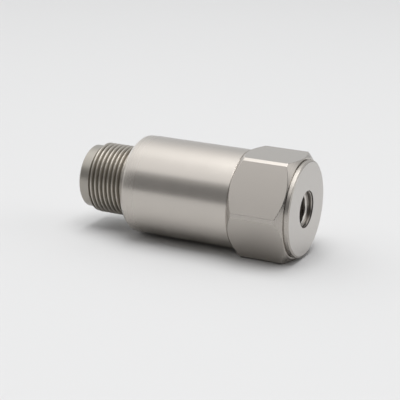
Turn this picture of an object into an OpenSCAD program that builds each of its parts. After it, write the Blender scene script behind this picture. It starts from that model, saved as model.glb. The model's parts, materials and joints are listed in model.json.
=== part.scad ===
// Two-wire vibration sensor with a hexagon body, a tapped mounting hole and a threaded two-pin receptacle.
// It lies on a flat of its hexagon. Its axis is X: the mounting face is at x = 0 and looks along +X,
// and the receptacle points along -X. Every piece is drawn upright, with Z as the depth behind the
// mounting face, and is then laid down.

/* [Mounting end] */
// Diameter of the tapped mounting hole
mount_d = 8; // [5:0.1:9]
// Depth of the tapped mounting hole
mount_depth = 6.5; // [4:0.1:7.5]
// Edge break at the mouth of the mounting hole
mount_edge = 0.05; // [0.05:0.05:0.5]
// Inset of the base plug's flange inside the hexagon's flats
flange_inset = 0.5; // [0.3:0.05:0.8]
// Thickness of the base plug's flange
flange_t = 1.1; // [0.7:0.05:2]
// Chamfer round the flange's mounting face
flange_edge = 0.2; // [0.1:0.05:0.4]
// Width of the groove on either side of the flange's rim, which draws the parting line
seam_w = 0.15; // [0.05:0.05:0.2]
// Depth of that groove in the hexagon's front face
seam_depth = 0.15; // [0.05:0.05:0.4]
// Length of the plug's spigot inside the housing
spigot_len = 8.45; // [7.5:0.05:11]
// Section of the seal ring round the spigot
plug_seal_d = 0.9; // [0.7:0.1:1.2]
// Distance from the flange to the seal groove
plug_seal_offset = 1.5; // [1:0.1:4]
// Diameter of the pedestal that carries the sensing stack
pedestal_d = 12; // [11.2:0.1:13]
// Height of the pedestal above the spigot
pedestal_h = 2.5; // [2:0.1:4]

/* [Housing] */
// Size of the hexagon across its flats
hex_af = 22; // [21.5:0.1:27]
// Height of the rounded corners above the flats, left from the round bar
corner_rise = 1.45; // [0.6:0.05:1.6]
// Inset of the hexagon's front face inside the flats, where its chamfer starts
face_inset = 0.1; // [0.05:0.05:0.2]
// Distance from the mounting face to the back of the hexagon
hex_end = 13.8; // [10:0.1:20]
// Slope of the chamfer on the hexagon's front corners, measured from the end plane
front_chamfer_angle = 41; // [25:1:50]
// Slope of the chamfer on the hexagon's back corners
back_chamfer_angle = 45; // [25:1:50]
// Inset of the round case inside the flats
case_inset = 0.1; // [0.05:0.05:0.4]
// Width of the tool relief where the case meets the hexagon
relief_w = 0.15; // [0.1:0.05:0.4]
// Depth of that relief
relief_depth = 0.12; // [0.06:0.02:0.3]
// Distance from the mounting face to the shoulder of the case
case_end = 39.65; // [38.5:0.05:60]
// Chamfer on the shoulder of the case
case_edge = 1.05; // [0.3:0.05:2]
// Diameter of the housing's bore
bore_d = 18.6; // [18.4:0.1:19.4]
// Thickness of the end wall that holds the receptacle
end_wall_t = 2; // [1.2:0.1:3]

/* [Receptacle] */
// Outside diameter of the coupling thread
thread_d = 15.7; // [15:0.05:16.2]
// Length of the coupling thread outside the case
thread_len = 9.35; // [7:0.05:14]
// Pitch of the coupling thread
thread_pitch = 1.06; // [0.8:0.01:1.4]
// Chamfer at the start of the coupling thread
thread_edge = 0.3; // [0.2:0.1:0.8]
// Diameter of the receptacle where it passes through the end wall
register_d = 16.4; // [16:0.1:17.4]
// Wall of the plain nose round the socket
nose_wall = 0.9; // [0.7:0.05:1.2]
// Length of the plain nose
nose_len = 2.6; // [1.5:0.1:5]
// Chamfer on the nose
nose_edge = 0.3; // [0.1:0.05:0.6]
// Thickness of the receptacle's inner flange
shell_flange_t = 2; // [1.8:0.1:3]
// Diameter of the socket
socket_d = 12.2; // [11.6:0.1:12.6]
// Depth of the socket, from the nose to the insert's face
socket_depth = 9.6; // [8:0.1:11]
// Width of the polarising key
key_w = 1.6; // [1:0.1:2.4]
// Height of the polarising key
key_h = 0.8; // [0.4:0.1:1]
// Length of the polarising key
key_len = 6; // [3:0.5:7.5]
// Step from the socket out to the bore behind it
insert_step = 0.8; // [0.5:0.05:0.9]
// Section of the insert's seal ring
insert_seal_d = 0.8; // [0.6:0.05:0.9]
// Lap of the insert's retaining ring past that bore
retainer_lap = 0.7; // [0.4:0.05:1]
// Inside diameter of the insert's retaining ring
retainer_bore_d = 11.2; // [9.5:0.1:12.4]
// Thickness of the insert's retaining ring
retainer_t = 0.8; // [0.5:0.1:1]

/* [Contacts] */
// Diameter of a contact pin
pin_d = 1.58; // [1.2:0.02:2]
// Distance between the two contact pins
pin_pitch = 4.8; // [4:0.1:5.4]
// Distance from the nose back to the tips of the pins
pin_recess = 1.4; // [0.5:0.1:3]
// Diameter of the collar that locates a pin in the insert
pin_collar_d = 2.2; // [2.1:0.1:2.6]
// Length of the collar
pin_collar_len = 1.4; // [0.8:0.1:1.6]
// Diameter of the tail that is soldered to the board
pin_tail_d = 1; // [0.6:0.1:1.1]
// Length of tail that shows below the board
pin_tail_proud = 0.6; // [0.2:0.1:0.9]

/* [Sensing stack] */
// Diameter of the crystals and their electrodes
crystal_d = 11; // [9:0.1:11.6]
// Thickness of one crystal
crystal_t = 1.6; // [1:0.1:2.4]
// Thickness of one electrode
electrode_t = 0.2; // [0.1:0.05:0.4]
// Width of an electrode's tab
tab_w = 1.6; // [1.2:0.1:2.4]
// Thickness of the isolating disc under the stack
isolator_t = 1; // [0.6:0.1:1.6]
// Diameter of the seismic mass
mass_d = 12; // [10:0.1:12.4]
// Height of the seismic mass
mass_h = 6.5; // [4:0.1:8]
// Diameter of the preload screw
screw_d = 3; // [2.5:0.1:3.4]
// Length of screw that is held in the pedestal
screw_hold = 3; // [2:0.1:3.6]
// Diameter of the screw's head
screw_head_d = 5.5; // [5:0.1:7]
// Height of the screw's head
screw_head_h = 2; // [1.6:0.1:3]
// Size of the screw's socket across its flats
screw_socket_af = 2.5; // [2:0.1:3]
// Depth of the screw's socket
screw_socket_depth = 1.2; // [0.6:0.1:1.4]
// Wall of the insulating sleeve round the screw
sleeve_t = 0.45; // [0.3:0.05:0.6]
// Diameter of the insulating washer under the screw's head
head_insulator_d = 7.6; // [7.2:0.1:9]
// Thickness of the insulating washer
head_insulator_t = 0.8; // [0.5:0.1:1.2]
// Diameter of the spring washer
spring_washer_d = 6.6; // [6:0.1:7]
// Thickness of the spring washer's sheet
spring_washer_t = 0.35; // [0.2:0.05:0.5]
// Rise of the spring washer's cone
spring_washer_rise = 0.25; // [0.1:0.05:0.5]
// Diameter of the shield can
can_d = 17.4; // [16.8:0.1:18]
// Wall of the shield can
can_t = 0.3; // [0.2:0.05:0.5]
// Free height between the screw's head and the shield can
can_headroom = 1.2; // [0.6:0.1:2]

/* [Electronics] */
// Diameter of the circuit board
board_d = 16.8; // [16.4:0.1:17.2]
// Thickness of the circuit board
board_t = 1.6; // [0.8:0.1:2]
// Height of the ledge that carries the board above the shield can
ledge_h = 2; // [1.6:0.1:2.6]
// Width of that ledge
ledge_w = 0.8; // [0.4:0.1:0.9]
// Diameter of a lead over its insulation
lead_d = 0.7; // [0.4:0.1:0.9]
// Slack that bows a lead outward between its ends
lead_slack = 0.5; // [0.1:0.1:0.7]
// Length of the amplifier chip's body
chip_len = 4.9; // [4:0.1:5.4]
// Width of the amplifier chip's body
chip_w = 3.9; // [3:0.1:4]
// Height of a chip or transistor body
chip_h = 1.45; // [1:0.05:1.7]
// Length of the loop transistor's body
transistor_len = 4.5; // [4:0.1:5]
// Width of the loop transistor's body
transistor_w = 2.5; // [2:0.1:3]
// Distance from the axis to the centre of the chip and of the transistor
chip_offset = 4.6; // [4.4:0.1:5]
// Length of a capacitor
capacitor_len = 3.5; // [3:0.1:4]
// Width of a capacitor
capacitor_w = 2.4; // [2:0.1:2.6]
// Height of a capacitor
capacitor_h = 1.9; // [1:0.1:2]
// Distance from the axis to the centre of a capacitor
capacitor_offset = 5.9; // [5.6:0.1:6.2]
// Length of a chip resistor
resistor_len = 2; // [1:0.1:2.2]
// Width of a chip resistor
resistor_w = 1.25; // [0.6:0.05:1.4]
// Height of a chip resistor
resistor_h = 0.5; // [0.3:0.05:0.8]

/* [Fits] */
// Radial clearance between pieces that slide together
fit_gap = 0.05; // [0.02:0.01:0.1]

/* [Hidden] */
$fn = 96;

steel = [0.72, 0.70, 0.67];
spring_steel = [0.60, 0.60, 0.60];
brass = [0.80, 0.66, 0.35];
gold = [0.86, 0.71, 0.38];
dark_steel = [0.45, 0.45, 0.47];
white_ceramic = [0.93, 0.92, 0.88];
crystal_grey = [0.62, 0.60, 0.55];
black_plastic = [0.07, 0.07, 0.08];
natural_plastic = [0.78, 0.70, 0.55];
black_rubber = [0.05, 0.05, 0.05];
board_green = [0.08, 0.32, 0.18];
lead_red = [0.70, 0.10, 0.08];
capacitor_yellow = [0.85, 0.62, 0.18];

// Overlap of a cutting shape past the surface that it cuts
cut_past = 1;

// Depths behind the mounting face, base plug and housing
spigot_end = flange_t + spigot_len;
pedestal_end = spigot_end + pedestal_h;
end_wall = case_end - end_wall_t;
flat_r = hex_af / 2;
bar_r = flat_r + corner_rise;
case_r = flat_r - case_inset;
hex_face_r = flat_r - face_inset;
flange_r = flat_r - flange_inset;
front_chamfer = (bar_r - hex_face_r) * tan(front_chamfer_angle);
back_chamfer = (bar_r - case_r) * tan(back_chamfer_angle);
bore_r = bore_d / 2;
spigot_r = bore_r - fit_gap;
plug_groove_r = bore_r - plug_seal_d - 2 * fit_gap;
plug_seal_start = flange_t + plug_seal_offset;
plug_groove_len = plug_seal_d + 2 * fit_gap;

// Depths along the sensing stack
ground_electrode_start = pedestal_end + isolator_t;
lower_crystal_start = ground_electrode_start + electrode_t;
signal_electrode_start = lower_crystal_start + crystal_t;
upper_crystal_start = signal_electrode_start + electrode_t;
mass_start = upper_crystal_start + crystal_t;
mass_end = mass_start + mass_h;
spring_start = mass_end + head_insulator_t;
screw_head_start = spring_start + spring_washer_rise + spring_washer_t;
screw_head_end = screw_head_start + screw_head_h;
screw_r = screw_d / 2;
sleeve_bore_r = screw_r + fit_gap;
sleeve_r = sleeve_bore_r + sleeve_t;
stack_bore_r = sleeve_r + fit_gap;

// Depths and places of the can, the board and the leads
can_end = screw_head_end + can_headroom + can_t;
can_r = can_d / 2;
lead_r = lead_d / 2;
lead_clear = 0.4;
lead_place = max(mass_d, crystal_d, pedestal_d) / 2 + lead_clear + lead_r;
lead_hole_r = lead_r + lead_slack / 2 + lead_clear / 2;
board_start = can_end + ledge_h;
board_end = board_start + board_t;
board_r = board_d / 2;
shell_flange_start = end_wall - shell_flange_t;
carrier_r = bore_r - 2 * fit_gap;

// Depths and radii of the receptacle
register_r = register_d / 2;
thread_r = thread_d / 2;
thread_end = case_end + thread_len;
thread_crest = thread_pitch / 8;
thread_root = thread_pitch / 4;
thread_flank = (thread_pitch - thread_crest - thread_root) / 2;
thread_depth = thread_flank / tan(30);
thread_grooves = floor((thread_len - thread_edge) / thread_pitch);
nose_end = thread_end + nose_len;
socket_r = socket_d / 2;
nose_r = socket_r + nose_wall;
insert_bore_r = socket_r + insert_step;
retainer_r = insert_bore_r + retainer_lap;
insert_start = shell_flange_start + retainer_t;
insert_shoulder = case_end - insert_seal_d - 2 * fit_gap;
insert_face = nose_end - socket_depth;
pin_r = pin_d / 2;
pin_tip = nose_end - pin_recess;
pin_tail_end = board_start - pin_tail_proud;
collar_end = insert_start + pin_collar_len;
tail_hole_r = pin_tail_d / 2 + fit_gap;

// Chip legs: size of one leg, how many along a side, and how far they spread
leg = 0.4;
leg_pitch = 1.27;
legs_per_side = 4;
leg_reach = 0.8;

// Turns an outline of [radius, depth] points into a solid about the sensor's axis.
module turned(outline) {
    rotate_extrude() polygon(outline);
}

// A washer, disc or tube between two depths.
module ring(outer_r, inner_r, start, end) {
    rotate_extrude() translate([inner_r, start]) square([outer_r - inner_r, end - start]);
}

// A seal ring of round section.
module seal_ring(middle_r, middle_depth, section_d) {
    rotate_extrude() translate([middle_r, middle_depth]) circle(d = section_d);
}

// A box that stands on a board face, centred on its place.
module chip_box(size) {
    translate([-size[0] / 2, -size[1] / 2, 0]) cube(size);
}

// Lays an upright piece down, with its depth along -X.
module laid() {
    rotate([0, -90, 0]) children();
}

// Hexagon milled on round bar: its two cones and the bar leave lens-shaped chamfers at the corners.
module hexagon() {
    intersection() {
        rotate([0, 0, 30]) cylinder(r = hex_af / sqrt(3), h = hex_end, $fn = 6);
        turned([
            [0, flange_t],
            [hex_face_r, flange_t],
            [bar_r, flange_t + front_chamfer],
            [bar_r, hex_end - back_chamfer],
            [case_r, hex_end],
            [0, hex_end]
        ]);
    }
}

module housing() {
    color(steel) laid() difference() {
        union() {
            hexagon();
            turned([
                [0, hex_end - cut_past],
                [case_r, hex_end - cut_past],
                [case_r, case_end - case_edge],
                [case_r - case_edge, case_end],
                [0, case_end]
            ]);
        }
        ring(flange_r + seam_w, flange_r - seam_w, flange_t - cut_past, flange_t + seam_depth);
        ring(case_r + cut_past, case_r - relief_depth, hex_end, hex_end + relief_w);
        cylinder(r = bore_r, h = end_wall);
        cylinder(r = register_r + fit_gap, h = case_end + cut_past);
    }
}

module base_plug() {
    mount_r = mount_d / 2;
    color(steel) laid() difference() {
        turned([
            [0, 0],
            [flange_r - flange_edge, 0],
            [flange_r, flange_edge],
            [flange_r, flange_t],
            [spigot_r, flange_t],
            [spigot_r, plug_seal_start],
            [plug_groove_r, plug_seal_start],
            [plug_groove_r, plug_seal_start + plug_groove_len],
            [spigot_r, plug_seal_start + plug_groove_len],
            [spigot_r, spigot_end],
            [pedestal_d / 2, spigot_end],
            [pedestal_d / 2, pedestal_end],
            [0, pedestal_end]
        ]);
        translate([0, 0, -cut_past]) cylinder(r = mount_r, h = mount_depth + cut_past);
        turned([[0, 0], [mount_r + mount_edge, 0], [mount_r, mount_edge], [0, mount_edge]]);
        translate([0, 0, pedestal_end - screw_hold - fit_gap])
            cylinder(r = screw_r + fit_gap, h = screw_hold + fit_gap + cut_past);
    }
}

module plug_seal() {
    color(black_rubber) laid()
        seal_ring((plug_groove_r + bore_r) / 2, plug_seal_start + plug_groove_len / 2, plug_seal_d);
}

// Outline of one groove of the coupling thread, from the end of a crest to the start of the next.
function thread_groove(start) = [
    [thread_r, start],
    [thread_r - thread_depth, start + thread_flank],
    [thread_r - thread_depth, start + thread_flank + thread_root],
    [thread_r, start + 2 * thread_flank + thread_root]
];

// Receptacle shell; the sixty-degree coupling thread is cut as rings, which have its pitch but no lead.
module connector_shell() {
    inner_flange = [
        [insert_bore_r, shell_flange_start + retainer_t],
        [retainer_r + fit_gap, shell_flange_start + retainer_t],
        [retainer_r + fit_gap, shell_flange_start],
        [bore_r - fit_gap, shell_flange_start],
        [bore_r - fit_gap, end_wall],
        [register_r, end_wall],
        [register_r, case_end],
        [thread_r, case_end]
    ];
    coupling_thread = [
        for (i = [0 : thread_grooves - 1])
        each thread_groove(case_end + thread_crest / 2 + i * thread_pitch)
    ];
    nose_and_socket = [
        [thread_r, thread_end - thread_edge],
        [thread_r - thread_edge, thread_end],
        [nose_r, thread_end],
        [nose_r, nose_end - nose_edge],
        [nose_r - nose_edge, nose_end],
        [socket_r, nose_end],
        [socket_r, case_end],
        [insert_bore_r, case_end]
    ];
    color(steel) laid() union() {
        turned(concat(inner_flange, coupling_thread, nose_and_socket));
        polarising_key();
    }
}

// Key on the upper wall of the socket, sunk into the wall and set back from the nose's chamfer.
module polarising_key() {
    key_end = nose_end - nose_edge;
    key_root = (nose_r + socket_r) / 2;
    intersection() {
        translate([socket_r - key_h, -key_w / 2, key_end - key_len]) cube([nose_r, key_w, key_len]);
        cylinder(r = key_root, h = nose_end);
    }
}

// Places a piece on the axis of one contact.
module at_contact(side) {
    translate([0, side * pin_pitch / 2, 0]) children();
}

module connector_insert() {
    color(black_plastic) laid() difference() {
        turned([
            [0, insert_start],
            [insert_bore_r - fit_gap, insert_start],
            [insert_bore_r - fit_gap, insert_shoulder],
            [socket_r - fit_gap, insert_shoulder],
            [socket_r - fit_gap, insert_face],
            [0, insert_face]
        ]);
        for (side = [-1, 1]) at_contact(side) {
            cylinder(r = pin_r + fit_gap, h = insert_face + cut_past);
            cylinder(r = pin_collar_d / 2 + fit_gap, h = collar_end);
        }
    }
}

module insert_seal() {
    color(black_rubber) laid()
        seal_ring((insert_bore_r + socket_r - fit_gap) / 2, (insert_shoulder + case_end) / 2, insert_seal_d);
}

module insert_retainer() {
    color(spring_steel) laid()
        ring(retainer_r, retainer_bore_d / 2, shell_flange_start, insert_start);
}

// Contact with a solder tail, a locating collar and a rounded tip.
module contact_pin(side) {
    color(gold) laid() at_contact(side) {
        turned([
            [0, pin_tail_end],
            [pin_tail_d / 2, pin_tail_end],
            [pin_tail_d / 2, insert_start],
            [pin_collar_d / 2, insert_start],
            [pin_collar_d / 2, collar_end],
            [pin_r, collar_end],
            [pin_r, pin_tip - pin_r],
            [0, pin_tip - pin_r]
        ]);
        translate([0, 0, pin_tip - pin_r]) sphere(r = pin_r);
    }
}

module contact_pin_a() {
    contact_pin(-1);
}

module contact_pin_b() {
    contact_pin(1);
}

module isolation_disc() {
    color(white_ceramic) laid() ring(pedestal_d / 2, stack_bore_r, pedestal_end, ground_electrode_start);
}

// Electrode foil with a tab that reaches past the stack to its lead.
module electrode(start, turn) {
    tab_end = lead_place + tab_w / 2;
    color(brass) laid() difference() {
        union() {
            translate([0, 0, start]) cylinder(d = crystal_d, h = electrode_t);
            rotate([0, 0, turn]) translate([0, -tab_w / 2, start]) cube([tab_end, tab_w, electrode_t]);
        }
        translate([0, 0, start - cut_past]) cylinder(r = stack_bore_r, h = electrode_t + 2 * cut_past);
    }
}

module ground_electrode() {
    electrode(ground_electrode_start, 180);
}

module lower_crystal() {
    color(crystal_grey) laid() ring(crystal_d / 2, stack_bore_r, lower_crystal_start, signal_electrode_start);
}

module signal_electrode() {
    electrode(signal_electrode_start, 0);
}

module upper_crystal() {
    color(crystal_grey) laid() ring(crystal_d / 2, stack_bore_r, upper_crystal_start, mass_start);
}

module seismic_mass() {
    color(dark_steel) laid() ring(mass_d / 2, stack_bore_r, mass_start, mass_end);
}

module screw_sleeve() {
    color(natural_plastic) laid() ring(sleeve_r, sleeve_bore_r, pedestal_end, mass_end);
}

module head_insulator() {
    color(white_ceramic) laid() ring(head_insulator_d / 2, sleeve_bore_r, mass_end, spring_start);
}

// Coned spring washer that rests on its rim and carries the screw's head on its inner edge.
module spring_washer() {
    rim_r = spring_washer_d / 2;
    color(spring_steel) laid() turned([
        [sleeve_bore_r, spring_start + spring_washer_rise],
        [rim_r, spring_start],
        [rim_r, spring_start + spring_washer_t],
        [sleeve_bore_r, screw_head_start]
    ]);
}

module preload_screw() {
    color(spring_steel) laid() difference() {
        turned([
            [0, pedestal_end - screw_hold],
            [screw_r, pedestal_end - screw_hold],
            [screw_r, screw_head_start],
            [screw_head_d / 2, screw_head_start],
            [screw_head_d / 2, screw_head_end],
            [0, screw_head_end]
        ]);
        translate([0, 0, screw_head_end - screw_socket_depth])
            cylinder(r = screw_socket_af / sqrt(3), h = screw_socket_depth + cut_past, $fn = 6);
    }
}

// Cup that shields the stack, with a hole over each lead.
module shield_can() {
    color(brass) laid() difference() {
        turned([
            [can_r - can_t, spigot_end],
            [can_r, spigot_end],
            [can_r, can_end],
            [0, can_end],
            [0, can_end - can_t],
            [can_r - can_t, can_end - can_t]
        ]);
        for (side = [-1, 1])
            translate([side * lead_place, 0, can_end - can_t - cut_past])
                cylinder(r = lead_hole_r, h = can_t + 2 * cut_past);
    }
}

// Lead from an electrode's tab to the board: a round tube swept along a shallow bow.
lead_rings = 24;
lead_sides = 10;
function lead_point(start, t) =
    [lead_place + lead_slack * pow(sin(180 * t), 2), start + t * (board_start - start)];
function lead_slope(start, t) =
    atan(lead_slack * sin(360 * t) * PI / (board_start - start));

module lead(start, turn) {
    points = [
        for (i = [0 : lead_rings])
        let (t = i / lead_rings, middle = lead_point(start, t), slope = lead_slope(start, t))
        for (j = [0 : lead_sides - 1])
        let (a = 360 * j / lead_sides, across = lead_r * cos(a))
        [middle[0] + across * cos(slope), lead_r * sin(a), middle[1] - across * sin(slope)]
    ];
    walls = [
        for (i = [0 : lead_rings - 1])
        for (j = [0 : lead_sides - 1])
        let (k = (j + 1) % lead_sides, low = i * lead_sides, high = low + lead_sides)
        [low + j, high + j, high + k, low + k]
    ];
    first_end = [for (j = [0 : lead_sides - 1]) j];
    last_end = [for (j = [lead_sides - 1 : -1 : 0]) lead_rings * lead_sides + j];
    laid() rotate([0, 0, turn]) polyhedron(points, concat(walls, [first_end, last_end]), convexity = 4);
}

module signal_lead() {
    color(lead_red) lead(signal_electrode_start + electrode_t, 0);
}

module ground_lead() {
    color(black_rubber) lead(ground_electrode_start + electrode_t, 180);
}

// Spacer tube between the shield can and the receptacle, with a ledge for the board that clears the leads.
module board_carrier() {
    pocket_r = board_r + fit_gap;
    ledge_r = max(board_r - ledge_w, lead_place + lead_r + lead_clear);
    color(natural_plastic) laid() turned([
        [ledge_r, can_end],
        [carrier_r, can_end],
        [carrier_r, shell_flange_start],
        [pocket_r, shell_flange_start],
        [pocket_r, board_start],
        [ledge_r, board_start]
    ]);
}

module circuit_board() {
    color(board_green) laid() difference() {
        translate([0, 0, board_start]) cylinder(r = board_r, h = board_t);
        for (side = [-1, 1]) at_contact(side)
            translate([0, 0, board_start - cut_past]) cylinder(r = tail_hole_r, h = board_t + 2 * cut_past);
    }
}

// Eight-legged amplifier beside the contact tails.
module amplifier_chip() {
    color(black_plastic) laid() translate([chip_offset, 0, board_end]) union() {
        chip_box([chip_w, chip_len, chip_h]);
        for (i = [0 : legs_per_side - 1])
            translate([0, (i - (legs_per_side - 1) / 2) * leg_pitch, 0])
                chip_box([chip_w + 2 * leg_reach * leg, leg, leg]);
    }
}

// Output transistor of the current loop, with its tab and three legs.
module loop_transistor() {
    color(black_plastic) laid() translate([-chip_offset, 0, board_end]) union() {
        chip_box([transistor_w, transistor_len, chip_h]);
        translate([-leg, 0, 0]) chip_box([transistor_w, leg_pitch, leg]);
        for (i = [-1 : 1])
            translate([leg, i * leg_pitch, 0]) chip_box([transistor_w, leg, leg]);
    }
}

module filter_capacitors() {
    color(capacitor_yellow) laid() for (side = [-1, 1])
        translate([0, side * capacitor_offset, board_end])
            chip_box([capacitor_len, capacitor_w, capacitor_h]);
}

// Chip resistors in a row of three on either side of the board's underside.
module chip_resistors() {
    row_offset = pin_pitch / 2 + pin_tail_d + resistor_w / 2;
    spacing = resistor_len + resistor_w;
    color(black_plastic) laid() for (side = [-1, 1])
        for (i = [-1 : 1])
            translate([i * spacing, side * row_offset, board_start - resistor_h])
                chip_box([resistor_len, resistor_w, resistor_h]);
}

housing();
base_plug();
plug_seal();
connector_shell();
connector_insert();
insert_seal();
insert_retainer();
contact_pin_a();
contact_pin_b();
isolation_disc();
ground_electrode();
lower_crystal();
signal_electrode();
upper_crystal();
seismic_mass();
screw_sleeve();
head_insulator();
spring_washer();
preload_screw();
shield_can();
signal_lead();
ground_lead();
board_carrier();
circuit_board();
amplifier_chip();
loop_transistor();
filter_capacitors();
chip_resistors();
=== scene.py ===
"""Looks of a stainless steel vibration sensor that lies on a flat of its hexagon.

The sensor's axis is X. The mounting face is at x = 0 and looks along +X, and the receptacle points along -X.
Sizes are in millimetres, as depth behind the mounting face, radius from the axis, and angle about the axis,
counted upward from -Y. Meshes are made in metres.
"""
import json
import math
import bpy
import bmesh
from mathutils import Matrix, Vector


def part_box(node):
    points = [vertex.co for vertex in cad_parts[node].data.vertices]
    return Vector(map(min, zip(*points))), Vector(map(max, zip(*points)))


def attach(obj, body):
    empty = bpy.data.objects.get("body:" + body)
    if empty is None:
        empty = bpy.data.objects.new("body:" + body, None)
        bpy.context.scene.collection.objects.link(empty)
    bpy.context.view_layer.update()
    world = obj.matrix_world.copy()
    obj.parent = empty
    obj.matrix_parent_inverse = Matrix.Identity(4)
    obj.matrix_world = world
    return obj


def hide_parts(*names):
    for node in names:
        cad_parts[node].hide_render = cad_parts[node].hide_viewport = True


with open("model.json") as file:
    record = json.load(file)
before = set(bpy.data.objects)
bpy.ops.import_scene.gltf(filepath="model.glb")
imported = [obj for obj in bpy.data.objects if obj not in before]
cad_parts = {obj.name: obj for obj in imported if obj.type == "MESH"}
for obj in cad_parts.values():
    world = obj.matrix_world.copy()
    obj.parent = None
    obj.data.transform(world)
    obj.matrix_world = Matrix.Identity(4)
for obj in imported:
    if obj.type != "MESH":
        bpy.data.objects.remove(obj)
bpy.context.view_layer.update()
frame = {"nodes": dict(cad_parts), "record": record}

MM = 0.001


def node_reach(node):
    """Depths at which a node starts and ends, and its reach along Y and Z, to a hundredth of a millimetre."""
    low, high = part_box(node)
    return [round(reach / MM, 2) for reach in (-high.x, -low.x, high.y, high.z)]


def mount_radius(name):
    """Radius that the record gives for a mount."""
    return next(mount["dims"]["r_mm"] for mount in frame["record"]["mounts"] if mount["name"] == name)


# Sizes that the frame gives
FLANGE_T, CASE_END, BAR_R, FLAT_R = node_reach("housing")
PEDESTAL_END = node_reach("base_plug")[1]
FLANGE_R = node_reach("base_plug")[3]
SHELL_START, NOSE_END, SHELL_R = node_reach("connector_shell")[:3]
MOUNT_R = mount_radius("mounting_hole")
THREAD_R = mount_radius("coupling_thread")

# Housing
FIT_GAP = 0.05
BORE_R = SHELL_R + FIT_GAP
SECTOR = 60
HALF_SECTOR = SECTOR / 2
FACE_INSET = 0.1
FACE_R = FLAT_R - FACE_INSET
CASE_INSET = 0.1
CASE_R = FLAT_R - CASE_INSET
HEX_END = 13.8
FRONT_SLOPE = math.tan(math.radians(41))
BACK_SLOPE = math.tan(math.radians(45))
RELIEF_W = 0.15
RELIEF_DEPTH = 0.12
END_WALL_T = 2.0
END_WALL = CASE_END - END_WALL_T
CASE_EDGE = 1.05
# Corners of the case's far end: distance from the end and drop below the case, in chamfers, and fillet
CASE_TAPER = ((3.0, 0.0, 20.0), (1.8, 0.045, 12.0), (0.95, 0.13, 0.6), (0.0, 1.0, 0.4))

# Base plug
FLANGE_BEVEL = 0.4
FLANGE_EDGE = 0.25
SEAM_W = 0.15
SEAM_DEPTH = 0.15
SPIGOT_R = BORE_R - FIT_GAP
SPIGOT_END = 9.55
SEAL_GROOVE_START = 2.6
SEAL_GROOVE_END = 3.6
SEAL_GROOVE_R = 8.3
PEDESTAL_R = 6.0
SCREW_HOLE_R = 1.55
SCREW_HOLE_END = 9.0

# Mounting hole
MOUNT_DEPTH = 6.5
MOUNT_EDGE = 0.05
MOUNT_PITCH = 1.25
MOUNT_THREAD_H = 0.61 * MOUNT_PITCH
MOUNT_CREST = 1.005
MOUNT_UNCUT = 0.3
MOUNT_CUT_DEPTH = MOUNT_DEPTH - MOUNT_UNCUT
DRILLED_R = MOUNT_R - MOUNT_THREAD_H
# Depth of the nearly black ring painted round the mounting hole's mouth as shade
RIM_SHADE_DEPTH = 0.28

# Receptacle
REGISTER_R = 8.2
RETAINER_R = 7.6
RETAINER_T = 0.8
NOSE_LEN = 2.6
THREAD_END = NOSE_END - NOSE_LEN
THREAD_EDGE = 0.3
THREAD_PITCH = 25.4 / 24
THREAD_H = 0.6 * THREAD_PITCH
THREAD_CREST = 44.914
NOSE_R = 7.0
NOSE_EDGE = 0.3
SOCKET_R = 6.1
INSERT_BORE_R = 6.9
KEY_W = 1.6
KEY_H = 0.8
KEY_LEN = 6.0
KEY_EDGE = 0.15

# Fillets, from the sharpest edge to the softest
SHARP = 0.0
HAIR = 0.02
CRISP = 0.03
LIP = 0.04
FINE = 0.05
ROOT = 0.06
MEDIUM = 0.08
SOFT = 0.1
BROAD = 0.12

# Mesh density
ROUND_COLUMNS = 240
THREAD_ROWS_PER_PITCH = 24
ARC_STEPS = 4
SUPPORT = 0.03
POINTS_PER_CORNER = ARC_STEPS + 3

# Steel finishes: colour, roughness, and contrast and bump strength of the tool marks
STEEL = (0.55, 0.515, 0.475)
STEEL_FINISHES = {
    "turned": (STEEL, 0.25, 0.025, 0.04),
    "milled": (STEEL, 0.22, 0.03, 0.06),
    # The hexagon's back chamfer is painted darker than the steel: painted shade, on a rougher finish.
    "chamfer": ((0.43, 0.4, 0.366), 0.45, 0.05, 0.1),
    "shoulder": (STEEL, 0.28, 0.03, 0.05),
    # The hexagon's front chamfer is painted darker than the steel to dim its reflection: painted shade.
    "front_chamfer": ((0.45, 0.42, 0.387), 0.27, 0.03, 0.05),
    # The hexagon's corner strips are painted slightly darker than the steel: painted shade, on a rougher
    # finish.
    "strip": ((0.5, 0.468, 0.432), 0.4, 0.03, 0.05),
    # The mounting face is painted lighter and cooler than the steel: painted light from a cool reflection, on
    # a rougher faced finish.
    "faced": ((0.585, 0.562, 0.535), 0.33, 0.03, 0.08),
    "nose": ((0.38, 0.357, 0.32), 0.33, 0.06, 0.08),
    # Nearly black steel painted round the mouth of the mounting hole: painted shade.
    "hole_rim_shade": ((0.11, 0.1, 0.092), 0.5, 0.1, 0.1),
    # The flange's bevel and side are painted darker than the steel to dim their highlight: painted shade.
    "flange_side": ((0.47, 0.44, 0.405), 0.27, 0.04, 0.06),
}

# Cut threads: name, then radius, colour and roughness at the inner and at the outer end of the finish. Their
# crests are painted lighter and their valleys darker: painted highlight and painted shade.
VALLEY_DEPTH = 0.45
CREST_DEPTH = 0.05
RIDGE_H = 0.7
THREAD_FINISHES = {
    "thread": ("threaded_steel", (THREAD_R - VALLEY_DEPTH, (0.27, 0.248, 0.215), 0.45),
               (THREAD_R - CREST_DEPTH, (0.55, 0.515, 0.465), 0.32)),
    # The bore's crests are painted far lighter than the steel: a painted highlight standing for their glints.
    "bore": ("bored_steel", (MOUNT_R - RIDGE_H, (0.72, 0.69, 0.65), 0.24),
             (MOUNT_R, (0.34, 0.315, 0.29), 0.34)),
}

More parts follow.
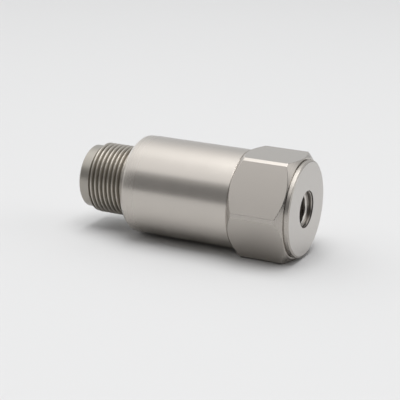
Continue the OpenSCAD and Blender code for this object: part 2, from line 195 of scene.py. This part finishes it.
# Materials of the CAD nodes by their slot: colour, metallic, roughness, and scale and contrast of the mottle
SLOT_MATERIALS = {
    "spring_steel": ((0.45, 0.45, 0.45), 1.0, 0.35, 900, 0.15),
    "mass_steel": ((0.40, 0.40, 0.42), 1.0, 0.40, 900, 0.15),
    "contact_gold": ((0.83, 0.62, 0.28), 1.0, 0.22, 1500, 0.08),
    "electrode_brass": ((0.78, 0.60, 0.28), 1.0, 0.32, 900, 0.15),
    "insert_plastic": ((0.022, 0.022, 0.025), 0.0, 0.45, 2500, 0.3),
    "natural_plastic": ((0.72, 0.62, 0.45), 0.0, 0.5, 1800, 0.15),
    "chip_plastic": ((0.03, 0.03, 0.03), 0.0, 0.55, 3000, 0.15),
    "capacitor_body": ((0.80, 0.52, 0.12), 0.0, 0.4, 2000, 0.15),
    "board_laminate": ((0.05, 0.25, 0.12), 0.0, 0.4, 2400, 0.15),
    "red_insulation": ((0.60, 0.06, 0.05), 0.0, 0.5, 2000, 0.15),
    "black_insulation": ((0.03, 0.03, 0.03), 0.0, 0.5, 2000, 0.15),
    "seal_rubber": ((0.02, 0.02, 0.02), 0.0, 0.6, 3000, 0.15),
    "white_ceramic": ((0.86, 0.85, 0.80), 0.0, 0.5, 2600, 0.05),
    "piezo_ceramic": ((0.50, 0.47, 0.40), 0.0, 0.6, 2600, 0.15),
}

# Lamp, in watts and metres
LAMP_POWER = 5.1
LAMP_SIZE = (0.55, 0.8)
LAMP_PLACE = (0.03, -0.05, 0.9)

# Light of the room: (degrees, level) stops over the angle about X, from the front horizon to the back one
FAR_LEFT_LIGHT = ((0, 0.2), (45, 0.85), (90, 1.2), (135, 1.0), (180, 1.65))
LEFT_LIGHT = ((0, 0.27), (14, 0.25), (29, 0.25), (37, 0.43), (41, 0.43), (46, 1.18), (60, 1.14), (76, 1.11),
              (93, 1.39), (110, 1.33), (124, 1.08), (140, 0.85), (156, 0.69), (180, 0.7))
MIDDLE_LIGHT = ((0, 0.01), (62, 0.02), (80, 1.5), (98, 0.25), (120, 0.18), (150, 0.68), (180, 0.65))
RIGHT_LIGHT = ((0, 0.01), (75, 0.05), (100, 0.6), (125, 1.5), (150, 0.9), (180, 0.55))
# Share of X in a direction at which each zone starts to take over from the last, and at which it has
LIGHT_ZONES = ((LEFT_LIGHT, -0.75, -0.45), (MIDDLE_LIGHT, -0.18, 0.08), (RIGHT_LIGHT, 0.45, 0.65))
LIGHT_PEAK = 1.75
NEUTRAL = (1.0, 1.0, 1.0)
COOL = (0.985, 1.0, 1.01)
COOL_FROM = 130
BACKDROP = 0.78
FLOOR_COLOUR = (0.678, 0.678, 0.68)
FLOOR_REACH = 4.0


def place(depth, radius, angle):
    """Point at a depth, a radius and an angle in radians, in metres."""
    return Vector((-depth, -radius * math.cos(angle), radius * math.sin(angle))) * MM


def round_angles():
    return [2 * math.pi * i / ROUND_COLUMNS for i in range(ROUND_COLUMNS)]


def ring(depth, radius, angles):
    return [place(depth, radius, angle) for angle in angles]


def clamped(value):
    return min(max(value, 0.0), 1.0)


def rounded(corners):
    """Closed outline of (depth, radius) points from (depth, radius, fillet) corners.

    Each fillet is an arc with a support point on either side, so that flat faces shade flat.
    """
    side_share = 0.4
    least_support = 1e-4
    points = []
    count = len(corners)
    for i, (depth, radius, fillet) in enumerate(corners):
        here = Vector((depth, radius))
        before = Vector(corners[i - 1][:2]) - here
        after = Vector(corners[(i + 1) % count][:2]) - here
        half = before.angle(after) / 2
        room = side_share * min(before.length, after.length)
        reach = min(fillet / math.tan(half), room)
        start = here + before.normalized() * reach
        end = here + after.normalized() * reach
        support = min(SUPPORT, 0.5 * (room - reach) + least_support)
        points.append(start + before.normalized() * support)
        for k in range(ARC_STEPS + 1):
            t = k / ARC_STEPS
            points.append(start * (1 - t) ** 2 + here * 2 * t * (1 - t) + end * t ** 2)
        points.append(end + after.normalized() * support)
    return [(p.x, p.y) for p in points]


def skin(rows, closed):
    """Vertices and faces of a grid whose rows run round the axis.

    A closed grid joins its last row to its first. An open one is capped by a point on the axis at both ends.
    """
    columns = len(rows[0])
    vertices = [p for row in rows for p in row]
    faces = []
    for i in range(len(rows) if closed else len(rows) - 1):
        low = i * columns
        high = (i + 1) % len(rows) * columns
        for j in range(columns):
            k = (j + 1) % columns
            faces.append((low + j, low + k, high + k, high + j))
    if not closed:
        for row, start in ((rows[0], 0), (rows[-1], (len(rows) - 1) * columns)):
            tip = len(vertices)
            vertices.append(sum(row, Vector()) / columns)
            faces += [(start + j, start + (j + 1) % columns, tip) for j in range(columns)]
    return vertices, faces


def new_piece(name, vertices, faces, finishes, face_finish, materials):
    """Smooth object whose normals point outward, with a finish named for each face."""
    mesh = bpy.data.meshes.new(name)
    mesh.from_pydata(vertices, [], faces)
    for finish in finishes:
        mesh.materials.append(materials[finish])
    mesh.polygons.foreach_set("material_index", [finishes.index(finish) for finish in face_finish])
    work = bmesh.new()
    work.from_mesh(mesh)
    bmesh.ops.recalc_face_normals(work, faces=work.faces)
    work.to_mesh(mesh)
    work.free()
    mesh.shade_smooth()
    piece = bpy.data.objects.new(name, mesh)
    bpy.context.scene.collection.objects.link(piece)
    return piece


def thread_drop(depth, angle, pitch, crest, height):
    """How far a sixty-degree thread lies below its crest at a place on its cylinder.

    The crest is the depth of one crest at angle 0. Each crest is flat over a seventh of the pitch.
    """
    turn = (depth - crest) / pitch - angle / (2 * math.pi)
    from_crest = abs(turn - round(turn)) * pitch
    crest_half = pitch / 14
    flank = math.radians(30)
    return height * clamped((from_crest - crest_half) / math.tan(flank) / height)


def new_material(name, metallic):
    """A material, its nodes and links, and its shader."""
    material = bpy.data.materials.new(name)
    material.use_nodes = True
    nodes, links = material.node_tree.nodes, material.node_tree.links
    shader = nodes["Principled BSDF"]
    shader.inputs["Metallic"].default_value = metallic
    return material, nodes, links, shader


def maths(nodes, links, operation, first, second=None):
    """Output of a Math node that is fed by sockets or numbers."""
    node = nodes.new("ShaderNodeMath")
    node.operation = operation
    for socket, value in zip(node.inputs, (first, second)):
        if isinstance(value, (int, float)):
            socket.default_value = value
        elif value is not None:
            links.new(value, socket)
    return node.outputs[0]


def noise(nodes, links, vector, scale, detail):
    node = nodes.new("ShaderNodeTexNoise")
    node.inputs["Scale"].default_value = scale
    node.inputs["Detail"].default_value = detail
    links.new(vector, node.inputs["Vector"])
    return node.outputs["Fac"]


def ranged(nodes, links, value, low, high, start=0.0, end=1.0):
    """A value that goes from start to end, mapped to go from low to high."""
    node = nodes.new("ShaderNodeMapRange")
    node.inputs["From Min"].default_value = start
    node.inputs["From Max"].default_value = end
    node.inputs["To Min"].default_value = low
    node.inputs["To Max"].default_value = high
    links.new(value, node.inputs["Value"])
    return node.outputs[0]


def mixed(nodes, links, share, first, second):
    """Colour between two colours, each a socket or three numbers."""
    node = nodes.new("ShaderNodeMix")
    node.data_type = "RGBA"
    links.new(share, node.inputs["Factor"])
    for name, colour in (("A", first), ("B", second)):
        if isinstance(colour, (tuple, list)):
            node.inputs[name].default_value = (*colour, 1)
        else:
            links.new(colour, node.inputs[name])
    return node.outputs["Result"]


def object_coordinates(nodes, links, scale=(1, 1, 1)):
    where = nodes.new("ShaderNodeTexCoord")
    mapping = nodes.new("ShaderNodeMapping")
    mapping.inputs["Scale"].default_value = scale
    links.new(where.outputs["Object"], mapping.inputs["Vector"])
    return mapping.outputs[0]


def axis_coordinates(nodes, links):
    """Place along the axis, radius from it and angle about it."""
    where = nodes.new("ShaderNodeTexCoord")
    split = nodes.new("ShaderNodeSeparateXYZ")
    links.new(where.outputs["Object"], split.inputs[0])
    x, y, z = split.outputs
    y_square = maths(nodes, links, "MULTIPLY", y, y)
    z_square = maths(nodes, links, "MULTIPLY", z, z)
    radius = maths(nodes, links, "SQRT", maths(nodes, links, "ADD", y_square, z_square))
    return x, radius, maths(nodes, links, "ARCTAN2", z, y)


def turned_coordinates(nodes, links, along=9000, around=1.2):
    """Coordinates that change fast along the axis and the radius, and slowly round the axis."""
    x, radius, angle = axis_coordinates(nodes, links)
    joined = nodes.new("ShaderNodeCombineXYZ")
    links.new(maths(nodes, links, "MULTIPLY", x, along), joined.inputs[0])
    links.new(maths(nodes, links, "MULTIPLY", radius, along), joined.inputs[1])
    links.new(maths(nodes, links, "MULTIPLY", angle, around), joined.inputs[2])
    return joined.outputs[0]


def milled_coordinates(nodes, links):
    """Coordinates that change fast across the axis, and slowly along it."""
    along = 700
    across = 6000
    return object_coordinates(nodes, links, (along, across, across))


def vary(nodes, links, shader, value, colour, contrast, roughness, spread):
    """Lets a value from 0 to 1 vary a shader's colour and roughness."""
    dark = [c * (1 - contrast) for c in colour]
    light = [c * (1 + contrast) for c in colour]
    links.new(mixed(nodes, links, value, dark, light), shader.inputs["Base Color"])
    links.new(ranged(nodes, links, value, roughness - spread, roughness + spread), shader.inputs["Roughness"])


def emboss(nodes, links, shader, height, strength, distance):
    """Bumps a shader's surface by a height from 0 to 1, times a distance in metres."""
    bump = nodes.new("ShaderNodeBump")
    bump.inputs["Strength"].default_value = strength
    bump.inputs["Distance"].default_value = distance
    links.new(height, bump.inputs["Height"])
    links.new(bump.outputs[0], shader.inputs["Normal"])


def steel(name, coordinates, colour, roughness, contrast, strength):
    """Stainless steel with fine tool marks that follow the coordinates, and soft clouds."""
    marks_share = 0.6
    material, nodes, links, shader = new_material(name, 1.0)
    marks = noise(nodes, links, coordinates(nodes, links), scale=1.0, detail=3.0)
    clouds = noise(nodes, links, object_coordinates(nodes, links), scale=260.0, detail=2.0)
    blend = maths(nodes, links, "ADD", maths(nodes, links, "MULTIPLY", marks, marks_share),
                  maths(nodes, links, "MULTIPLY", clouds, 1 - marks_share))
    vary(nodes, links, shader, blend, colour, contrast, roughness, spread=0.06)
    emboss(nodes, links, shader, marks, strength, distance=0.00002)
    return material


def grained(name, colour, metallic, roughness, scale, contrast):
    """Plain material with a fine mottle in its colour, roughness and surface."""
    material, nodes, links, shader = new_material(name, metallic)
    mottle = noise(nodes, links, object_coordinates(nodes, links), scale, detail=4.0)
    vary(nodes, links, shader, mottle, colour, contrast, roughness, spread=0.08)
    emboss(nodes, links, shader, mottle, strength=0.15, distance=0.00005)
    return material


def threaded(name, inner, outer):
    """Cut thread whose finish goes by radius, between an inner and an outer (radius, colour, roughness). Its
    lighter crests and darker valleys are painted highlight and painted shade.
    """
    noise_mean = 0.5
    wear = 0.4
    inner_r, inner_colour, inner_roughness = inner
    outer_r, outer_colour, outer_roughness = outer
    material, nodes, links, shader = new_material(name, 1.0)
    radius = axis_coordinates(nodes, links)[1]
    height = ranged(nodes, links, radius, 0.0, 1.0, inner_r * MM, outer_r * MM)
    coordinates = turned_coordinates(nodes, links, along=4000, around=3.0)
    marks = noise(nodes, links, coordinates, scale=1.0, detail=3.0)
    uneven = maths(nodes, links, "MULTIPLY", maths(nodes, links, "SUBTRACT", marks, noise_mean), wear)
    # Share of painted highlight against painted shade, by radius, made uneven by the tool marks
    painted_shade_and_wear = maths(nodes, links, "ADD", height, uneven)
    links.new(mixed(nodes, links, painted_shade_and_wear, inner_colour, outer_colour), shader.inputs["Base Color"])
    links.new(ranged(nodes, links, painted_shade_and_wear, inner_roughness, outer_roughness), shader.inputs["Roughness"])
    return material


def make_materials():
    """Every material by its name: steel finishes, the two cut threads, and the record's slots."""
    materials = {}
    for name, finish in STEEL_FINISHES.items():
        coordinates = milled_coordinates if name == "milled" else turned_coordinates
        materials[name] = steel(f"{name}_steel", coordinates, *finish)
    for name, finish in THREAD_FINISHES.items():
        materials[name] = threaded(*finish)
    for slot, look in SLOT_MATERIALS.items():
        materials[slot] = grained(slot, *look)
    return materials


def dress_cad_nodes(materials):
    """Gives each CAD node that stays in view the material of its slot."""
    for part in frame["record"]["subparts"]:
        if part["material_slot"] in SLOT_MATERIALS:
            node = frame["nodes"][part["node"]]
            node.data.materials.clear()
            node.data.materials.append(materials[part["material_slot"]])


def from_corner(angle):
    """Degrees between an angle in degrees and the nearest corner of the hexagon."""
    return abs((angle + HALF_SECTOR) % SECTOR - HALF_SECTOR)


def housing_columns():
    """Angles round the housing in radians, and the degrees from a corner to where its strip ends.

    Pairs of columns break the edges of each strip, and evenly spaced ones cross the flats.
    """
    half_strip = HALF_SECTOR - math.degrees(math.acos(FLAT_R / BAR_R))
    edge = 0.08
    support = 0.05
    strip_gap = 0.8
    flat_gap = 1.0
    step = 1.6
    last_gap = 2.0
    offsets = [half_strip - strip_gap, half_strip - edge - support, half_strip - edge, half_strip + edge,
               half_strip + edge + support, half_strip + flat_gap]
    while offsets[-1] + last_gap < HALF_SECTOR:
        offsets.append(offsets[-1] + step)
    sector = sorted([-o for o in offsets] + [0.0] + offsets) + [HALF_SECTOR]
    angles = [math.radians(SECTOR * corner + o) for corner in range(360 // SECTOR) for o in sector]
    return angles, half_strip + edge


def body_outline(side_r):
    """Outline of the housing at an angle where the hexagon's side has this radius."""
    taper = [(CASE_END - back * CASE_EDGE, CASE_R - drop * CASE_EDGE, fillet)
             for back, drop, fillet in CASE_TAPER]
    return rounded([
        (FLANGE_T, BORE_R, SOFT),
        (FLANGE_T, FLANGE_R - SEAM_W, CRISP),
        (FLANGE_T + SEAM_DEPTH, FLANGE_R - SEAM_W, CRISP),
        (FLANGE_T + SEAM_DEPTH, FLANGE_R + SEAM_W, CRISP),
        (FLANGE_T, FLANGE_R + SEAM_W, CRISP),
        (FLANGE_T, FACE_R, ROOT),
        (FLANGE_T + (side_r - FACE_R) * FRONT_SLOPE, side_r, BROAD),
        (HEX_END - (side_r - CASE_R) * BACK_SLOPE, side_r, BROAD),
        (HEX_END, CASE_R, HAIR),
        (HEX_END, CASE_R - RELIEF_DEPTH, CRISP),
        (HEX_END + RELIEF_W, CASE_R - RELIEF_DEPTH, CRISP),
        (HEX_END + RELIEF_W, CASE_R, CRISP),
        *taper,
        (CASE_END, REGISTER_R + FIT_GAP, MEDIUM),
        (END_WALL, REGISTER_R + FIT_GAP, MEDIUM),
        (END_WALL, BORE_R, SOFT),
    ])


def body_finish(row, on_flat):
    """Finish of the housing's faces behind a row of points, which follow the corners of its outline.

    A face of the hexagon starts where the fillet before it ends, two rows ahead of the next corner.
    """
    front_corner = 6
    taper_corner = 12
    fillet_end = 2
    side_rows = 4
    front_chamfer = front_corner * POINTS_PER_CORNER - fillet_end
    side_start = front_chamfer + POINTS_PER_CORNER
    back_chamfer = side_start + POINTS_PER_CORNER
    shoulder = taper_corner * POINTS_PER_CORNER
    if front_chamfer <= row < side_start:
        return "front_chamfer"
    if side_start <= row < side_start + side_rows:
        return "milled" if on_flat else "strip"
    if back_chamfer <= row < back_chamfer + POINTS_PER_CORNER - 1:
        return "chamfer"
    if shoulder <= row < shoulder + len(CASE_TAPER) * POINTS_PER_CORNER:
        return "shoulder"
    return "turned"


def make_body(materials):
    """Hexagon and case: the hexagon's radius at each angle sets where its two chamfers stop."""
    angles, strip_edge = housing_columns()
    outlines = []
    for angle in angles:
        from_middle = math.radians(HALF_SECTOR - from_corner(math.degrees(angle)))
        outlines.append(body_outline(min(FLAT_R / math.cos(from_middle), BAR_R)))
    rows = [[place(*point, angle) for point, angle in zip(points, angles)] for points in zip(*outlines)]
    vertices, faces = skin(rows, closed=True)
    next_angles = angles[1:] + angles[:1]
    on_flat = [from_corner(math.degrees(a + b) / 2) > strip_edge for a, b in zip(angles, next_angles)]
    face_finish = [body_finish(row, flat) for row in range(len(rows)) for flat in on_flat]
    finishes = ("turned", "milled", "chamfer", "shoulder", "strip", "front_chamfer")
    piece = new_piece("body", vertices, faces, finishes, face_finish, materials)
    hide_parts("housing")
    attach(piece, "root")


def hole_bottom(angles):
    """Rings of the mounting hole's flat bottom and of its rounded corner, from the middle out."""
    middle_r = 0.05
    corner = 0.2
    corner_sag = 0.05
    support = 0.05
    outline = [
        (MOUNT_DEPTH, middle_r),
        (MOUNT_DEPTH, DRILLED_R / 2),
        (MOUNT_DEPTH, DRILLED_R - corner - support),
        (MOUNT_DEPTH, DRILLED_R - corner),
        (MOUNT_DEPTH - corner_sag, DRILLED_R - corner_sag),
        (MOUNT_DEPTH - corner, DRILLED_R),
        (MOUNT_DEPTH - corner - support, DRILLED_R),
    ]
    return [ring(depth, radius, angles) for depth, radius in outline]


def hole_wall(angles):
    """Rings of the mounting hole's wall, from the end of its cut thread out to its mouth.

    The thread runs out above the hole's bottom. Its ridges are low near the mouth, and the mouth is plain.
    """
    run_out = 0.8
    plain_mouth = 0.25
    mouth_fade = 0.15
    low_ridge = 0.25
    full_start = 0.8
    full_fade = 0.3
    steps = round(MOUNT_CUT_DEPTH / MOUNT_PITCH * THREAD_ROWS_PER_PITCH)
    rows = []
    for i in range(steps + 1):
        depth = MOUNT_CUT_DEPTH * (1 - i / steps)
        cut = clamped((MOUNT_CUT_DEPTH - depth) / run_out)
        share = low_ridge * clamped((depth - plain_mouth) / mouth_fade)
        share += (1 - low_ridge) * clamped((depth - full_start) / full_fade)
        mouth = max(MOUNT_R + MOUNT_EDGE - depth, MOUNT_R)
        row = []
        for angle in angles:
            drop = thread_drop(depth, -angle, MOUNT_PITCH, MOUNT_CREST, MOUNT_THREAD_H)
            row.append(place(depth, mouth - share * (MOUNT_THREAD_H - cut * drop), angle))
        rows.append(row)
    return rows


def plug_outside(angles):
    """Rings of the base plug outside its mounting hole, from the hole's mouth to the screw hole behind.

    The outline's first and last corners only lead it in and out, and are left off.
    """
    lead_depth = 0.2
    lead_step = 0.02
    tail_r = 0.5
    outline = rounded([
        (lead_depth, MOUNT_R + MOUNT_EDGE - lead_step, SHARP),
        (0.0, MOUNT_R + MOUNT_EDGE, LIP),
        (0.0, FLANGE_R - FLANGE_BEVEL, MEDIUM),
        (FLANGE_EDGE, FLANGE_R, MEDIUM),
        (FLANGE_T, FLANGE_R, CRISP),
        (FLANGE_T, SPIGOT_R, FINE),
        (SEAL_GROOVE_START, SPIGOT_R, LIP),
        (SEAL_GROOVE_START, SEAL_GROOVE_R, ROOT),
        (SEAL_GROOVE_END, SEAL_GROOVE_R, ROOT),
        (SEAL_GROOVE_END, SPIGOT_R, LIP),
        (SPIGOT_END, SPIGOT_R, SOFT),
        (SPIGOT_END, PEDESTAL_R, SOFT),
        (PEDESTAL_END, PEDESTAL_R, SOFT),
        (PEDESTAL_END, SCREW_HOLE_R, FINE),
        (SCREW_HOLE_END, SCREW_HOLE_R, FINE),
        (SCREW_HOLE_END, tail_r, SHARP),
    ])
    kept = outline[POINTS_PER_CORNER + 1:-POINTS_PER_CORNER]
    return [ring(depth, radius, angles) for depth, radius in kept]


def make_base(materials):
    """Base plug with its faced flange and the cut thread in its mounting hole."""
    angles = round_angles()
    bottom = hole_bottom(angles)
    wall = hole_wall(angles)
    vertices, faces = skin(bottom + wall + plug_outside(angles), closed=False)
    flat_bottom = 3
    bevel_corner = 2
    back_corner = 4
    mouth = len(bottom) + len(wall) - 1
    # Rows just inside the hole's mouth get the painted shade ring
    rim_shade_start = mouth - round(RIM_SHADE_DEPTH / MOUNT_CUT_DEPTH * (len(wall) - 1))
    side_start = mouth + bevel_corner * POINTS_PER_CORNER - 1
    side_end = mouth + (back_corner - 1) * POINTS_PER_CORNER
    face_finish = []
    for i in range(len(faces)):
        row = i // len(angles)
        finish = "faced"
        if flat_bottom <= row < mouth:
            finish = "hole_rim_shade" if row >= rim_shade_start else "bore"
        elif side_start <= row < side_end:
            finish = "flange_side"
        face_finish.append(finish)
    finishes = ("faced", "bore", "hole_rim_shade", "flange_side")
    piece = new_piece("base", vertices, faces, finishes, face_finish, materials)
    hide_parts("base_plug")
    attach(piece, "root")


def coupling_thread(angles):
    """Rings of the receptacle's cut thread, which a chamfer ends at the nose."""
    length = THREAD_END - CASE_END
    steps = round(length / THREAD_PITCH * THREAD_ROWS_PER_PITCH)
    rows = []
    for i in range(steps + 1):
        depth = CASE_END + length * i / steps
        chamfer = THREAD_R - THREAD_EDGE + (THREAD_END - depth)
        row = []
        for angle in angles:
            drop = thread_drop(depth, angle, THREAD_PITCH, THREAD_CREST, THREAD_H)
            row.append(place(depth, min(THREAD_R - drop, THREAD_R, chamfer), angle))
        rows.append(row)
    return rows


def key_bar():
    """Vertices and faces of the key: a bar with broken edges, sunk into the socket's upper wall."""
    sunk = (NOSE_R + SOCKET_R) / 2
    low = SOCKET_R - KEY_H
    end = NOSE_END - NOSE_EDGE
    start = end - KEY_LEN
    sections = ((start, KEY_EDGE), (start + KEY_EDGE, 0.0), (end - KEY_EDGE, 0.0), (end, KEY_EDGE))
    vertices = []
    for depth, inset in sections:
        half = KEY_W / 2 - inset
        bottom = low + inset
        left = [(-half, sunk), (-half, bottom + KEY_EDGE), (-half + KEY_EDGE, bottom)]
        right = [(-y, z) for y, z in reversed(left)]
        vertices += [Vector((-depth, y, z)) * MM for y, z in left + right]
    sides = len(left + right)
    faces = []
    for row in range(len(sections) - 1):
        near, far = row * sides, (row + 1) * sides
        for i in range(sides):
            k = (i + 1) % sides
            faces.append((near + i, near + k, far + k, far + i))
    last = (len(sections) - 1) * sides
    faces += [tuple(range(sides)), tuple(last + i for i in reversed(range(sides)))]
    return vertices, faces


def make_receptacle(materials):
    """Receptacle shell with its cut coupling thread, its nose and the key in its socket.

    The outline's last corner before the thread and its first one after it only lead to it, and are left off.
    """
    lead = 0.2
    angles = round_angles()
    before = rounded([
        (SHELL_START + RETAINER_T, INSERT_BORE_R, FINE),
        (SHELL_START + RETAINER_T, RETAINER_R + FIT_GAP, FINE),
        (SHELL_START, RETAINER_R + FIT_GAP, FINE),
        (SHELL_START, SHELL_R, SOFT),
        (END_WALL, SHELL_R, SOFT),
        (END_WALL, REGISTER_R, FINE),
        (CASE_END, REGISTER_R, SOFT),
        (CASE_END, THREAD_R, SHARP),
    ])
    after = rounded([
        (THREAD_END, NOSE_R + lead, SHARP),
        (THREAD_END, NOSE_R, MEDIUM),
        (NOSE_END - NOSE_EDGE, NOSE_R, BROAD),
        (NOSE_END, NOSE_R - NOSE_EDGE, BROAD),
        (NOSE_END, SOCKET_R, SOFT),
        (CASE_END, SOCKET_R, FINE),
        (CASE_END, INSERT_BORE_R, FINE),
    ])
    behind = [ring(depth, radius, angles) for depth, radius in before[:-POINTS_PER_CORNER]]
    thread = coupling_thread(angles)
    nose = [ring(depth, radius, angles) for depth, radius in after[POINTS_PER_CORNER:]]
    vertices, faces = skin(behind + thread + nose, closed=True)
    face_finish = []
    for rows, finish in ((behind, "nose"), (thread, "thread"), (nose, "nose")):
        face_finish += [finish] * len(rows) * len(angles)
    key_vertices, key_faces = key_bar()
    faces += [tuple(len(vertices) + corner for corner in face) for face in key_faces]
    vertices += key_vertices
    face_finish += ["nose"] * len(key_faces)
    piece = new_piece("receptacle", vertices, faces, ("nose", "thread"), face_finish, materials)
    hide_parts("connector_shell")
    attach(piece, "root")


def make_stage():
    """Plain pale floor under the hexagon's lower flat."""
    signs = ((-1, -1), (1, -1), (1, 1), (-1, 1))
    mesh = bpy.data.meshes.new("floor")
    mesh.from_pydata([(FLOOR_REACH * x, FLOOR_REACH * y, -FLAT_R * MM) for x, y in signs], [], [(0, 1, 2, 3)])
    material, _, _, shader = new_material("floor_paper", 0.0)
    shader.inputs["Base Color"].default_value = (*FLOOR_COLOUR, 1)
    shader.inputs["Roughness"].default_value = 0.9
    shader.inputs["Specular IOR Level"].default_value = 0.1
    mesh.materials.append(material)
    floor = bpy.data.objects.new("floor", mesh)
    bpy.context.scene.collection.objects.link(floor)


def make_lamp():
    """Soft overhead lamp."""
    data = bpy.data.lights.new("overhead", "AREA")
    data.shape = "RECTANGLE"
    data.size, data.size_y = LAMP_SIZE
    data.energy = LAMP_POWER
    lamp = bpy.data.objects.new("overhead", data)
    lamp.location = LAMP_PLACE
    bpy.context.scene.collection.objects.link(lamp)


def light_ramp(nodes, links, share, stops):
    """Light over the angle about X, as a share of the peak. It is cooler towards the back."""
    ramp = nodes.new("ShaderNodeValToRGB")
    links.new(share, ramp.inputs[0])
    elements = ramp.color_ramp.elements
    while len(elements) < len(stops):
        elements.new(0.5)
    for element, (degrees, level) in zip(elements, stops):
        tint = COOL if degrees > COOL_FROM else NEUTRAL
        element.position = degrees / 180
        element.color = (*(level / LIGHT_PEAK * c for c in tint), 1)
    return ramp.outputs[0]


def make_room():
    """Soft studio: a light panel high on the left, a pale wall behind and a dim room in front.

    Its light goes by the angle about X, in four zones along X. The camera sees a plain pale backdrop instead.
    """
    world = bpy.data.worlds.new("studio")
    bpy.context.scene.world = world
    world.use_nodes = True
    nodes, links = world.node_tree.nodes, world.node_tree.links
    where = nodes.new("ShaderNodeTexCoord")
    split = nodes.new("ShaderNodeSeparateXYZ")
    links.new(where.outputs["Generated"], split.inputs[0])
    x, y, z = split.outputs
    angle = maths(nodes, links, "ARCTAN2", z, maths(nodes, links, "MULTIPLY", y, -1.0))
    share = maths(nodes, links, "DIVIDE", angle, math.pi)
    light = light_ramp(nodes, links, share, FAR_LEFT_LIGHT)
    for stops, start, end in LIGHT_ZONES:
        weight = ranged(nodes, links, x, 0.0, 1.0, start, end)
        light = mixed(nodes, links, weight, light, light_ramp(nodes, links, share, stops))
    ray = nodes.new("ShaderNodeLightPath")
    backdrop = [BACKDROP / LIGHT_PEAK] * 3
    seen = mixed(nodes, links, ray.outputs["Is Camera Ray"], light, backdrop)
    background = nodes["Background"]
    links.new(seen, background.inputs["Color"])
    background.inputs["Strength"].default_value = LIGHT_PEAK


def make_camera():
    """Camera fitted to the photograph's edges: its azimuth and elevation, a slight roll and a long lens."""
    azimuth, elevation, roll = (math.radians(v) for v in (24.759, 16.600, 1.839))
    distance = 296.755
    target = Vector((-24.928, 0.0, -1.805))
    focal_pixels = 1349.87
    picture_pixels = 400
    back = Vector((math.sin(azimuth) * math.cos(elevation), -math.cos(azimuth) * math.cos(elevation),
                   math.sin(elevation)))
    right = Vector((math.cos(azimuth), math.sin(azimuth), 0))
    up = back.cross(right)
    rolled_right = math.cos(roll) * right + math.sin(roll) * up
    rolled_up = math.cos(roll) * up - math.sin(roll) * right
    data = bpy.data.cameras.new("camera")
    data.sensor_fit = "HORIZONTAL"
    data.sensor_width = 36.0
    data.lens = data.sensor_width * focal_pixels / picture_pixels
    data.clip_start = 0.005
    camera = bpy.data.objects.new("camera", data)
    turn = Matrix((rolled_right, rolled_up, back)).transposed().to_4x4()
    camera.matrix_world = Matrix.Translation((target + distance * back) * MM) @ turn
    bpy.context.scene.collection.objects.link(camera)
    bpy.context.scene.camera = camera


def main():
    bpy.context.scene.view_settings.view_transform = "Standard"
    materials = make_materials()
    dress_cad_nodes(materials)
    make_body(materials)
    make_base(materials)
    make_receptacle(materials)
    make_stage()
    make_lamp()
    make_room()
    make_camera()


main()
bpy.context.view_layer.update()
